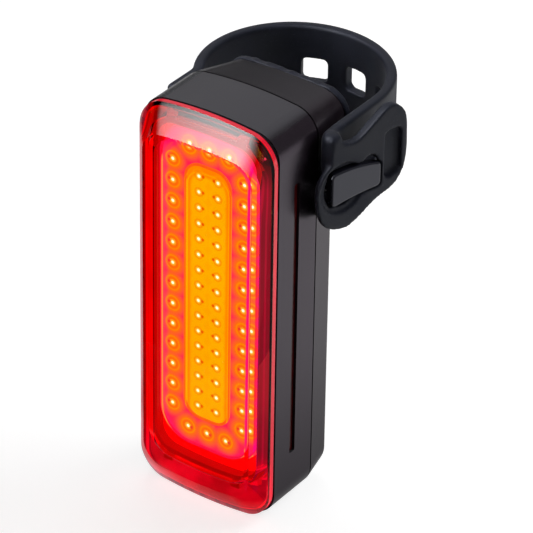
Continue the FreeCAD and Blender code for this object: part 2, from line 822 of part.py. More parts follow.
def strap_hook():
    """Stem through strap and tab with an arched plate on its end."""
    outer = fold_radius + hook_proud
    plate = hook_block(0, outer - hook_thickness, outer, 1.0)
    rims = [e for e in plate.Edges if all(abs(v.X - outer) < 1e-6 for v in e.Vertexes)]
    plate = tab_frame(plate.makeFillet(0.45, rims))
    stem = rounded_box(inner_side, fold_x + fold_radius, hook_y - hook_stem_y / 2, hook_y + hook_stem_y / 2,
                       hook_z - hook_stem_z / 2, hook_z + hook_stem_z / 2, 1.0, V(1, 0, 0))
    stem = stem.cut(tapered_body(0, housing_front, saddle_back))
    return stem.fuse(plate).cut(side_pilot(1, hook_y, hook_z))


def strap_anchor():
    """Round cap and stem that hold the strap's fixed end against the left side."""
    under = -leg_outer - slip_gap
    stem = rod(anchor_stem, V(-inner_side, anchor_y, strap_middle), V(under, anchor_y, strap_middle))
    stem = stem.cut(tapered_body(0, housing_front, saddle_back))
    cap = rod(anchor_radius, V(under, anchor_y, strap_middle),
              V(under - anchor_thickness, anchor_y, strap_middle))
    rim = [e for e in cap.Edges if abs(e.BoundBox.XMin - (under - anchor_thickness)) < 1e-3
           and e.BoundBox.XLength < 1e-3]
    cap = cap.makeFillet(0.5, rim)
    return stem.fuse(cap).cut(side_pilot(-1, anchor_y, strap_middle))


def side_pilot(sign, y, z):
    """Hole for a side screw in the hook or the anchor."""
    end = side_seat(y) + side_screw_length + slip_gap
    return rod(screw_shank + fit_gap / 3, V(sign * side_seat(y), y, z), V(sign * end, y, z))


def side_screw(sign, y, z):
    """Screw from inside the housing into the stem of the hook or anchor."""
    head_at = V(sign * (side_seat(y) - side_head_height), y, z)
    return screw(head_at, V(sign, 0, 0), side_head, side_head_height, screw_shank, side_screw_length)


save("front_lens", [lens()])
save("lens_gasket", [gasket()])
light_board()
save("reflector_bezel", [bezel()])
save("heat_plate", [heat_plate()])
save("front_casing", [front_casing()])
save("left_side_window", [side_window(-1)])
save("right_side_window", [side_window(1)])
save("casing_seal", [casing_seal()])
save("rear_housing", [rear_housing()])
save("saddle_pad", [saddle_pad()])
inside_parts()
usb_parts()
save("power_button", [power_button()])
save("usb_cover", [usb_cover()])
save("housing_screws", [screw(V(x, screw_head_y() + screw_head_height, z), V(0, -1, 0), screw_head,
                              screw_head_height, screw_shank, screw_length) for x, z in screw_places()])
save("strap_band", [strap_band()])
save("strap_tab", [strap_tab()])
save("strap_hook", [strap_hook()])
save("strap_anchor", [strap_anchor()])
save("hook_screw", [side_screw(1, hook_y, hook_z)])
save("anchor_screw", [side_screw(-1, anchor_y, strap_middle)])
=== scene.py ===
import bpy
import bmesh
import math
from mathutils import Matrix, Vector


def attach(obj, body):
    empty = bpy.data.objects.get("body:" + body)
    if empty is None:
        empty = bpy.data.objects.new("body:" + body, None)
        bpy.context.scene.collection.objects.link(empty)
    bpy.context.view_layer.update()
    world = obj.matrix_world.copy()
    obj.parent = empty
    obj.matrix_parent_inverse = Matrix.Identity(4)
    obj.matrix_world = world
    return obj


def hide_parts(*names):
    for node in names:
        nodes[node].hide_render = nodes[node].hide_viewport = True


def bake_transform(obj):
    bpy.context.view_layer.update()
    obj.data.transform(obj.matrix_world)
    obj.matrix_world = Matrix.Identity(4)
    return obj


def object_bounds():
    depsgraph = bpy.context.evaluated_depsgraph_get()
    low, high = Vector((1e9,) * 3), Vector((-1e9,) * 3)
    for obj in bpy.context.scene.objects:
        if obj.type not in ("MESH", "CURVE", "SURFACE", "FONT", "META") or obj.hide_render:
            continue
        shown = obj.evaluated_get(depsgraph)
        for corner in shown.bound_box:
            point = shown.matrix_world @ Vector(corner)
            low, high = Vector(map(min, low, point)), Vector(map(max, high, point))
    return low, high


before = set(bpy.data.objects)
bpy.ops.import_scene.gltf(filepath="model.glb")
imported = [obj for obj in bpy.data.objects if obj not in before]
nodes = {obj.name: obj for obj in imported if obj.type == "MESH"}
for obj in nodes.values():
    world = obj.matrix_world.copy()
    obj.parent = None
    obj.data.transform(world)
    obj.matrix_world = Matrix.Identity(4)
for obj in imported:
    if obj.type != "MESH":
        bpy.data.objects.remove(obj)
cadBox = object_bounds()
scene = bpy.context.scene

# The light was drawn about the middle of the casing's front rim, in millimetres.
# The frame's origin is the post's axis, this far behind and above that rim.
postDepth = 32.85
strapLevel = 26.6


def place(x, y, z):
    return Vector((x, y - postDepth, z - strapLevel)) / 1000


def newNode(tree, kind, **values):
    node = tree.nodes.new(kind)
    for key, value in values.items():
        setattr(node, key, value)
    return node


def feed(tree, socket, value):
    if hasattr(value, "links"):
        tree.links.new(value, socket)
    else:
        socket.default_value = value


def opaque(value):       # a colour gets its alpha, anything else stays
    return (*value, 1.0) if isinstance(value, tuple) and len(value) == 3 else value


def calc(tree, operation, *values):       # each value is a socket or a number
    node = newNode(tree, "ShaderNodeMath", operation=operation)
    for socket, value in zip(node.inputs, values):
        feed(tree, socket, value)
    return node.outputs[0]


def ramp(tree, value, low, high, outLow=0.0, outHigh=1.0):
    node = newNode(tree, "ShaderNodeMapRange", interpolation_type="SMOOTHSTEP")
    for socket, given in zip(node.inputs, (value, low, high, outLow, outHigh)):
        feed(tree, socket, given)
    return node.outputs[0]


def within(tree, *limits):       # product of soft steps, each given as a value and its span
    share = 1.0
    for value, span in limits:
        share = calc(tree, "MULTIPLY", share, ramp(tree, value, *span))
    return share


def mixColor(tree, factor, first, second):
    node = newNode(tree, "ShaderNodeMix", data_type="RGBA")
    feed(tree, node.inputs[0], factor)
    feed(tree, node.inputs[6], opaque(first))
    feed(tree, node.inputs[7], opaque(second))
    return node.outputs[2]


def splitPlace(tree):       # object coordinates in the drawing's millimetres
    coords = newNode(tree, "ShaderNodeTexCoord")
    scaled = newNode(tree, "ShaderNodeVectorMath", operation="MULTIPLY_ADD")
    feed(tree, scaled.inputs[0], coords.outputs["Object"])
    scaled.inputs[1].default_value = (1000, 1000, 1000)
    scaled.inputs[2].default_value = (0, postDepth, strapLevel)
    split = newNode(tree, "ShaderNodeSeparateXYZ")
    feed(tree, split.inputs[0], scaled.outputs[0])
    return split.outputs


def newGroup(name, inputs, outputs):
    group = bpy.data.node_groups.new(name, "ShaderNodeTree")
    for label, value in inputs.items():
        kind = "NodeSocketColor" if isinstance(value, tuple) else "NodeSocketFloat"
        socket = group.interface.new_socket(label, in_out="INPUT", socket_type=kind)
        socket.default_value = opaque(value)
    for label, kind in outputs.items():
        group.interface.new_socket(label, in_out="OUTPUT", socket_type=kind)
    return group, group.nodes.new("NodeGroupInput"), group.nodes.new("NodeGroupOutput")


def addGroup(tree, group, **values):
    node = tree.nodes.new("ShaderNodeGroup")
    node.node_tree = group
    for label, value in values.items():
        feed(tree, node.inputs[label], opaque(value))
    return node


def noise(tree, scale, detail=3.0, roughness=0.5):
    node = newNode(tree, "ShaderNodeTexNoise")
    for label, value in (("Scale", scale), ("Detail", detail), ("Roughness", roughness)):
        feed(tree, node.inputs[label], value)
    feed(tree, node.inputs["Vector"], newNode(tree, "ShaderNodeTexCoord").outputs["Object"])
    return node.outputs["Fac"]


grainLook = {"edge": (0.56, 0.68), "patchScale": 240.0, "patch": (0.4, 0.7), "cloudScale": 55.0,
             "smudgeScale": 90.0, "smudgeGain": 4.0, "paintedTopSpan": (0.75, 0.97)}


def makeMouldedGroup():     # eroded grain of a moulding, handling marks, paler worn edges
    group, inside, outside = newGroup(
        "mouldedFinish",
        {"Color": (0.05, 0.05, 0.05), "Worn Color": (0.2, 0.2, 0.2), "Wear": 0.3, "Roughness": 0.45,
         "Smudge": 0.06, "Grain Scale": 6000.0, "Mottle": 0.1},
        {"Color": "NodeSocketColor", "Roughness": "NodeSocketFloat", "Height": "NodeSocketFloat"})
    given = inside.outputs
    geometry = newNode(group, "ShaderNodeNewGeometry")
    edge = ramp(group, geometry.outputs["Pointiness"], *grainLook["edge"])
    patchy = ramp(group, noise(group, grainLook["patchScale"], 4.0, 0.6), *grainLook["patch"])
    worn = calc(group, "MULTIPLY", calc(group, "MULTIPLY", edge, patchy), given["Wear"])
    cloud = noise(group, grainLook["cloudScale"], 4.0, 0.6)
    shade = calc(group, "MULTIPLY_ADD", calc(group, "SUBTRACT", cloud, 0.5), given["Mottle"], 1.0)
    toned = newNode(group, "ShaderNodeVectorMath", operation="SCALE")
    feed(group, toned.inputs[0], given["Color"])
    feed(group, toned.inputs["Scale"], shade)
    feed(group, outside.inputs["Color"], mixColor(group, worn, toned.outputs[0], given["Worn Color"]))
    smudge = calc(group, "SUBTRACT", noise(group, grainLook["smudgeScale"], 5.0, 0.65), 0.5)
    gain = calc(group, "MULTIPLY", given["Smudge"], grainLook["smudgeGain"])
    feed(group, outside.inputs["Roughness"], calc(group, "MULTIPLY_ADD", smudge, gain, given["Roughness"]))
    feed(group, outside.inputs["Height"], noise(group, given["Grain Scale"], 2.0, 0.5))
    return group


dustLook = {"speckScale": 2600.0, "speck": (0.66, 0.74), "speckShare": 0.8, "filmScale": 160.0,
            "film": (0.35, 0.8), "filmShare": 0.35, "filmRough": 0.18, "clean": 0.5}


def makeDustGroup():        # fine pale dust that silicone rubber picks up
    group, inside, outside = newGroup(
        "rubberDust", {"Color": (0.03, 0.03, 0.03), "Dust Color": (0.3, 0.3, 0.32), "Amount": 0.3},
        {"Color": "NodeSocketColor", "Roughness": "NodeSocketFloat"})
    given = inside.outputs
    specks = ramp(group, noise(group, dustLook["speckScale"], 2.0, 0.5), *dustLook["speck"])
    film = ramp(group, noise(group, dustLook["filmScale"], 5.0, 0.7), *dustLook["film"])
    both = calc(group, "MAXIMUM", calc(group, "MULTIPLY", specks, dustLook["speckShare"]),
                calc(group, "MULTIPLY", film, dustLook["filmShare"]))
    cover = calc(group, "MULTIPLY", both, given["Amount"])
    feed(group, outside.inputs["Color"], mixColor(group, cover, given["Color"], given["Dust Color"]))
    feed(group, outside.inputs["Roughness"],
         calc(group, "MULTIPLY_ADD", film, dustLook["filmRough"], dustLook["clean"]))
    return group


def distance(tree, across, along):
    squares = calc(tree, "ADD", calc(tree, "MULTIPLY", across, across), calc(tree, "MULTIPLY", along, along))
    return calc(tree, "SQRT", squares)


def nearestStep(tree, value, pitch, limit):     # whole or half steps, as limit says
    half = calc(tree, "FRACT", limit)
    index = calc(tree, "ROUND", calc(tree, "ADD", calc(tree, "DIVIDE", value, pitch), half))
    index = calc(tree, "SUBTRACT", index, half)
    return calc(tree, "MAXIMUM", calc(tree, "MULTIPLY", limit, -1.0), calc(tree, "MINIMUM", index, limit))


bondDot = {"span": (0.38, 0.2), "off": 0.1, "endShift": 0.72}
lampSoft = {"spot": (1.3, 0.5), "halo": 0.9, "disc": (1.15, 0.75)}      # shares of a spot's and a disc's radius


# Chips stand in two columns, and the outer zone has a short row at each end too.
# All lengths are millimetres about the middle of the array.
def makeLampGroup():
    group, inside, outside = newGroup(
        "lampGlow",
        {"Column": 7.6, "Pitch": 4.24, "Rows": 13.0, "End Row": 29.14, "End Pitch": 4.16, "Middle": 3.0,
         "Spot": 0.35, "Halo": 0.9, "Ring": 1.42, "Ring Width": 0.12, "Disc": 1.2, "Reach": 2.6,
         "Bond Shift": -0.8, "Bond Pair": 0.0},
        {"Spot": "NodeSocketFloat", "Halo": "NodeSocketFloat", "Ring": "NodeSocketFloat",
         "Disc": "NodeSocketFloat", "Near": "NodeSocketFloat", "Bond": "NodeSocketFloat"})
    given = inside.outputs
    x, _, z = splitPlace(group)[:3]
    up = calc(group, "SUBTRACT", z, given["Middle"])
    limit = calc(group, "MULTIPLY", calc(group, "SUBTRACT", given["Rows"], 1.0), 0.5)
    index = nearestStep(group, up, given["Pitch"], limit)
    rowOff = calc(group, "SUBTRACT", up, calc(group, "MULTIPLY", index, given["Pitch"]))
    side = calc(group, "SIGN", calc(group, "ADD", x, 0.0001))
    columnOff = calc(group, "SUBTRACT", x, calc(group, "MULTIPLY", side, given["Column"]))
    endSide = calc(group, "SIGN", calc(group, "ADD", up, 0.0001))
    endUp = calc(group, "SUBTRACT", up, calc(group, "MULTIPLY", endSide, given["End Row"]))
    endIndex = nearestStep(group, x, given["End Pitch"], 1.0)
    endOff = calc(group, "SUBTRACT", x, calc(group, "MULTIPLY", endIndex, given["End Pitch"]))
    columns = distance(group, columnOff, rowOff)
    near = calc(group, "MINIMUM", columns, distance(group, endOff, endUp))
    pairShift = calc(group, "MULTIPLY", side, given["Bond Pair"])
    bondShift = calc(group, "SUBTRACT", given["Bond Shift"], pairShift)
    bond = distance(group, calc(group, "SUBTRACT", columnOff, bondShift),
                    calc(group, "SUBTRACT", rowOff, bondDot["off"]))
    endBond = distance(group, calc(group, "SUBTRACT", endOff, bondDot["endShift"]),
                       calc(group, "ADD", endUp, bondDot["off"]))
    bond = calc(group, "MINIMUM", bond, endBond)

    def times(label, share):
        return calc(group, "MULTIPLY", given[label], share)

    ringOff = calc(group, "ABSOLUTE", calc(group, "SUBTRACT", near, given["Ring"]))
    fades = {"Spot": (near, *(times("Spot", share) for share in lampSoft["spot"])),
             "Halo": (near, given["Halo"], times("Spot", lampSoft["halo"])),
             "Ring": (ringOff, given["Ring Width"], 0.0),
             "Disc": (near, *(times("Disc", share) for share in lampSoft["disc"])),
             "Near": (near, given["Reach"], given["Ring"]),
             "Bond": (bond, *bondDot["span"])}
    for label, fade in fades.items():
        feed(group, outside.inputs[label], ramp(group, *fade))
    return group


# Signed distance to the arched, round-cornered outline of a gel pool, negative inside.
def makeZoneGroup():
    group, inside, outside = newGroup(
        "zoneEdge", {"Width": 19.6, "Height": 64.2, "Corner": 6.2, "Middle": 1.8, "Arch": 150.0},
        {"Distance": "NodeSocketFloat"})
    given = inside.outputs
    x, _, z = splitPlace(group)[:3]
    arch = calc(group, "DIVIDE", calc(group, "MULTIPLY", x, x), given["Arch"])
    up = calc(group, "ADD", calc(group, "ABSOLUTE", calc(group, "SUBTRACT", z, given["Middle"])), arch)
    beyond = []
    for value, size in ((calc(group, "ABSOLUTE", x), given["Width"]), (up, given["Height"])):
        half = calc(group, "SUBTRACT", calc(group, "MULTIPLY", size, 0.5), given["Corner"])
        beyond.append(calc(group, "SUBTRACT", value, half))
    outer = distance(group, *(calc(group, "MAXIMUM", value, 0.0) for value in beyond))
    inner = calc(group, "MINIMUM", calc(group, "MAXIMUM", *beyond), 0.0)
    feed(group, outside.inputs["Distance"],
         calc(group, "SUBTRACT", calc(group, "ADD", outer, inner), given["Corner"]))
    return group


mouldedFinish = makeMouldedGroup()
rubberDust = makeDustGroup()
lampGlow = makeLampGroup()
zoneEdge = makeZoneGroup()
print("shared effects ready")


def newMaterial(name):
    material = bpy.data.materials.new(name)
    material.use_nodes = True
    tree = material.node_tree
    return material, tree, tree.nodes["Principled BSDF"]


def addBump(tree, shader, height, strength, depth):
    bump = newNode(tree, "ShaderNodeBump")
    bump.inputs["Strength"].default_value = strength
    bump.inputs["Distance"].default_value = depth
    feed(tree, bump.inputs["Height"], height)
    feed(tree, shader.inputs["Normal"], bump.outputs[0])


def mouldedMaterial(name, look):
    material, tree, shader = newMaterial(name)
    finish = addGroup(tree, mouldedFinish, **{
        "Color": look["color"], "Worn Color": look["worn"], "Wear": look["wear"],
        "Roughness": look["roughness"], "Smudge": look["smudge"], "Grain Scale": look["grain"],
        "Mottle": look["mottle"]})
    upward = newNode(tree, "ShaderNodeSeparateXYZ")
    feed(tree, upward.inputs[0], newNode(tree, "ShaderNodeNewGeometry").outputs["Normal"])
    paintedTopTone = ramp(tree, upward.outputs["Z"], *grainLook["paintedTopSpan"])      # painted light and shade: what faces up gets its own tone
    feed(tree, shader.inputs["Base Color"],
         mixColor(tree, paintedTopTone, finish.outputs["Color"], look.get("paintedTopTone", look["color"])))
    feed(tree, shader.inputs["Roughness"], finish.outputs["Roughness"])
    shader.inputs["Specular IOR Level"].default_value = look["specular"]
    shader.inputs["Specular Tint"].default_value = opaque(look.get("tint", (1.0, 1.0, 1.0)))
    shader.inputs["Metallic"].default_value = look.get("metallic", 0.0)
    addBump(tree, shader, finish.outputs["Height"], look["bump"], look["depth"])
    return material


rubberGrain = {"tint": (0.86, 0.89, 1.0), "sheenRoughness": 0.4, "scale": 4200.0, "bump": 0.25,
               "depth": 0.00004}


def rubberMaterial(name, look):
    material, tree, shader = newMaterial(name)
    dust = addGroup(tree, rubberDust, **{"Color": look["color"], "Dust Color": look["dust"],
                                         "Amount": look["amount"]})
    feed(tree, shader.inputs["Base Color"], dust.outputs["Color"])
    feed(tree, shader.inputs["Roughness"], dust.outputs["Roughness"])
    shader.inputs["Specular IOR Level"].default_value = look["specular"]
    shader.inputs["Specular Tint"].default_value = opaque(rubberGrain["tint"])
    shader.inputs["Sheen Weight"].default_value = look["sheen"]
    shader.inputs["Sheen Roughness"].default_value = rubberGrain["sheenRoughness"]
    grain = noise(tree, rubberGrain["scale"], 3.0, 0.6)
    addBump(tree, shader, grain, rubberGrain["bump"], rubberGrain["depth"])
    return material


def line(tree, value, middle, width):       # soft line where the value passes its middle
    off = calc(tree, "ABSOLUTE", calc(tree, "SUBTRACT", value, middle))
    return ramp(tree, off, width, 0.0)


def layer(tree, color, factor, share, over):
    return mixColor(tree, calc(tree, "MULTIPLY", factor, share), color, over)


black = (0.0, 0.0, 0.0)


def finishGlow(tree, shader, glow, base, roughness):
    feed(tree, shader.inputs["Emission Color"], glow)
    shader.inputs["Emission Strength"].default_value = 1.0
    feed(tree, shader.inputs["Base Color"], base)
    shader.inputs["Roughness"].default_value = roughness


# Silicone gel over lit chips: pale near a chip, deeper away from it, with the chip's round well
# showing as a ring and the bond wire's pad as a dot.
def glowMaterial(name, look):
    material, tree, shader = newMaterial(name)
    lamps = addGroup(tree, lampGlow, **look["lamps"])
    edge = addGroup(tree, zoneEdge, **look["zone"]).outputs["Distance"]
    cloud = ramp(tree, noise(tree, 900.0, 3.0, 0.6), 0.3, 0.75)
    color = mixColor(tree, lamps.outputs["Near"], look["far"], look["near"])
    color = layer(tree, color, cloud, look["mottle"], look["mottleColor"])
    color = layer(tree, color, ramp(tree, edge, -look["marginWidth"], look["marginEnd"]), look["marginShare"],
                  look["margin"])
    color = layer(tree, color, line(tree, edge, look["outlineAt"], look["outlineWidth"]), look["outlineShare"],
                  look["outline"])
    color = layer(tree, color, lamps.outputs["Disc"], look["discShare"], look["disc"])
    color = layer(tree, color, lamps.outputs["Ring"], look["ringShare"], look["ring"])
    color = layer(tree, color, lamps.outputs["Halo"], look["haloShare"], look["halo"])
    color = layer(tree, color, lamps.outputs["Bond"], look["bondShare"], look["bond"])
    color = mixColor(tree, lamps.outputs["Spot"], color, look["spot"])
    finishGlow(tree, shader, color, mixColor(tree, cloud, look["gel"], look["gelDeep"]), look["roughness"])
    return material


# The tone for upward faces is painted light and shade: lighter on the casing's top, darker on the housing's top
# next to the strap.
plasticLook = {"color": (0.008, 0.005, 0.0075), "worn": (0.05, 0.048, 0.05), "wear": 0.15, "roughness": 0.27,
               "smudge": 0.002, "grain": 5200.0, "mottle": 0.03, "specular": 0.5, "bump": 0.3,
               "depth": 0.00003, "tint": (0.97, 0.74, 1.0), "paintedTopTone": (0.046, 0.05, 0.053)}
housingLook = dict(plasticLook, specular=0.41, paintedTopTone=(0.003, 0.003, 0.004))
hookLook = {"color": (0.009, 0.009, 0.015), "worn": (0.12, 0.12, 0.13), "wear": 0.5, "roughness": 0.26,
            "smudge": 0.02, "grain": 4200.0, "mottle": 0.12, "specular": 0.7, "bump": 0.15, "depth": 0.00003,
            "tint": (0.86, 0.87, 1.0)}
rubberLook = {"color": (0.006, 0.0068, 0.0125), "dust": (0.098, 0.11, 0.17), "amount": 0.27, "specular": 0.36,
              "sheen": 0.08}
sealLook = {"color": (0.006, 0.005, 0.006), "dust": (0.05, 0.04, 0.045), "amount": 0.2, "specular": 0.3,
            "sheen": 0.0}
metalLook = {"color": (0.55, 0.55, 0.57), "worn": (0.8, 0.8, 0.8), "wear": 0.3, "roughness": 0.3,
             "smudge": 0.04, "grain": 3000.0, "mottle": 0.2, "specular": 0.5, "metallic": 1.0, "bump": 0.1,
             "depth": 0.00002}
boardLook = dict(plasticLook, color=(0.02, 0.16, 0.06), roughness=0.35)
frameLook = dict(plasticLook, color=(0.2, 0.2, 0.21), roughness=0.5)
foamLook = dict(plasticLook, color=(0.22, 0.22, 0.23), roughness=0.9, grain=1800.0, bump=0.8)
wireLook = dict(plasticLook, color=(0.45, 0.02, 0.02), roughness=0.3)

casingPlastic = mouldedMaterial("casingPlastic", plasticLook)
housingPlastic = mouldedMaterial("housingPlastic", housingLook)
hookPlastic = mouldedMaterial("hookPlastic", hookLook)
strapRubber = rubberMaterial("strapRubber", rubberLook)
sealRubber = rubberMaterial("sealRubber", sealLook)
plainMetal = mouldedMaterial("plainMetal", metalLook)

# The glow is seen through the red lens, which keeps a twentieth of its green and blue.
outerGlow = {
    "lamps": {"Column": 7.625, "Pitch": 4.24, "Rows": 13.0, "End Row": 29.14, "End Pitch": 4.16,
              "Middle": 3.0, "Spot": 0.31, "Halo": 0.98, "Ring": 1.42, "Ring Width": 0.3, "Disc": 1.05,
              "Reach": 3.4, "Bond Shift": -0.76, "Bond Pair": 0.0},
    "zone": {"Width": 19.6, "Height": 64.2, "Corner": 6.2, "Middle": 1.8, "Arch": 150.0},
    "near": (1.1, 3.9, 0.08), "far": (1.1, 0.3, 1.8), "mottle": 0.12, "mottleColor": (1.1, 1.9, 0.4),
    "margin": (1.05, 0.1, 3.0), "marginWidth": 1.6, "marginEnd": -0.3, "marginShare": 0.7, "roughness": 0.3,
    "outline": (1.15, 2.2, 0.6), "outlineAt": -0.25, "outlineWidth": 0.34, "outlineShare": 0.4,
    "disc": (1.05, 3.0, 0.0), "discShare": 0.85, "ring": (1.15, 7.0, 0.0), "ringShare": 0.85,
    "halo": (1.15, 13.0, 0.6), "haloShare": 0.95, "bond": (0.95, 0.1, 0.6), "bondShare": 0.9,
    "spot": (2.2, 34.0, 20.0), "gel": (0.7, 0.08, 0.12), "gelDeep": (0.6, 0.05, 0.08)}
innerGlow = {
    "lamps": {"Column": 2.03, "Pitch": 3.18, "Rows": 16.0, "End Row": 200.0, "End Pitch": 4.16,
              "Middle": 3.0, "Spot": 0.31, "Halo": 0.82, "Ring": 1.35, "Ring Width": 0.2, "Disc": 1.0,
              "Reach": 2.4, "Bond Shift": 0.0, "Bond Pair": 0.9},
    "zone": {"Width": 9.1, "Height": 52.0, "Corner": 3.0, "Middle": 1.8, "Arch": 150.0},
    "near": (1.1, 11.0, 0.0), "far": (1.1, 9.4, 0.0), "mottle": 0.3, "mottleColor": (1.1, 10.4, 0.0),
    "margin": (1.1, 4.2, 0.0), "marginWidth": 1.2, "marginEnd": -0.3, "marginShare": 0.75, "roughness": 0.3,
    "outline": (1.2, 10.0, 0.0), "outlineAt": -0.12, "outlineWidth": 0.26, "outlineShare": 0.85,
    "disc": (1.05, 5.4, 0.0), "discShare": 0.8, "ring": (1.1, 8.4, 0.0), "ringShare": 0.5,
    "halo": (1.15, 15.0, 0.6), "haloShare": 0.95, "bond": (0.9, 1.2, 0.0), "bondShare": 0.9,
    "spot": (2.2, 34.0, 20.0), "gel": (0.8, 0.35, 0.03), "gelDeep": (0.7, 0.28, 0.02)}
outerGel = glowMaterial("outerGelGlow", outerGlow)
innerGel = glowMaterial("innerGelGlow", innerGlow)


def flatGlow(name, look):       # glow with a soft mottle: the chips, and painted light on board margin, bezel, heat plate, windows
    material, tree, shader = newMaterial(name)
    cloud = ramp(tree, noise(tree, look["scale"], 3.0, 0.6), 0.3, 0.7)
    color = mixColor(tree, cloud, look["dim"], look["bright"])
    # Painted shade: the glow darkens towards the sides, beyond the side span.
    if "sideDark" in look:
        side = calc(tree, "ABSOLUTE", splitPlace(tree)[0])
        color = layer(tree, color, ramp(tree, side, *look["sideSpan"]), look["sideDark"], black)
    finishGlow(tree, shader, color, mixColor(tree, cloud, look["base"], look["baseDeep"]), look["roughness"])
    return material


def damMaterial(name, look):        # clear bead whose two edges catch the glow of its pool
    material, tree, shader = newMaterial(name)
    edge = addGroup(tree, zoneEdge, **look["zone"]).outputs["Distance"]
    cloud = ramp(tree, noise(tree, 700.0, 3.0, 0.6), 0.3, 0.7)
    color = mixColor(tree, cloud, look["dim"], look["bright"])
    for side, middle in (("inner", 0.02), ("outer", 0.48)):      # distances from the pool's outline
        color = layer(tree, color, line(tree, edge, middle, look["lineWidth"]), look[side + "Share"],
                      look[side + "Line"])
    finishGlow(tree, shader, color, mixColor(tree, cloud, look["base"], look["baseDeep"]), look["roughness"])
    return material


outerDamLook = {"zone": outerGlow["zone"], "dim": (1.0, 0.1, 1.0), "bright": (1.05, 0.2, 1.4),
                "innerLine": (1.1, 8.0, 0.8), "innerShare": 0.95, "outerLine": (1.0, 0.1, 0.1),
                "outerShare": 0.7, "lineWidth": 0.26, "base": (0.6, 0.1, 0.05), "baseDeep": (0.5, 0.08, 0.05),
                "roughness": 0.2}
innerDamLook = {"zone": innerGlow["zone"], "dim": (1.1, 2.2, 0.2), "bright": (1.1, 3.0, 0.1),
                "innerLine": (1.2, 10.0, 0.0), "innerShare": 0.8, "outerLine": (1.1, 5.6, 0.0),
                "outerShare": 0.9, "lineWidth": 0.2, "base": (0.7, 0.25, 0.1), "baseDeep": (0.6, 0.2, 0.1),
                "roughness": 0.2}
chipLook = {"scale": 2000.0, "dim": (1.2, 18.0, 17.0), "bright": (1.3, 21.0, 20.0), "base": (0.9, 0.8, 0.4),
            "baseDeep": (0.9, 0.7, 0.3), "roughness": 0.3}
boardGlowLook = {"scale": 300.0, "dim": (1.0, 0.0, 0.0), "bright": (1.15, 0.0, 0.0), "base": (0.5, 0.02, 0.02),
                 "baseDeep": (0.4, 0.02, 0.02), "roughness": 0.4, "sideDark": 0.62, "sideSpan": (10.2, 10.4)}
bezelLook = {"scale": 300.0, "dim": (0.28, 0.0, 0.0), "bright": (0.44, 0.0, 0.0), "base": (0.5, 0.01, 0.01),
             "baseDeep": (0.35, 0.01, 0.01), "roughness": 0.35}
plateLook = {"scale": 200.0, "dim": (0.01, 0.0, 0.0), "bright": (0.03, 0.0, 0.0), "base": (0.6, 0.6, 0.6),
             "baseDeep": (0.5, 0.5, 0.5), "roughness": 0.4}
windowLook = {"scale": 400.0, "dim": (0.006, 0.0, 0.0), "bright": (0.02, 0.0, 0.0),
              "base": (0.03, 0.001, 0.001), "baseDeep": (0.015, 0.001, 0.001), "roughness": 0.25}


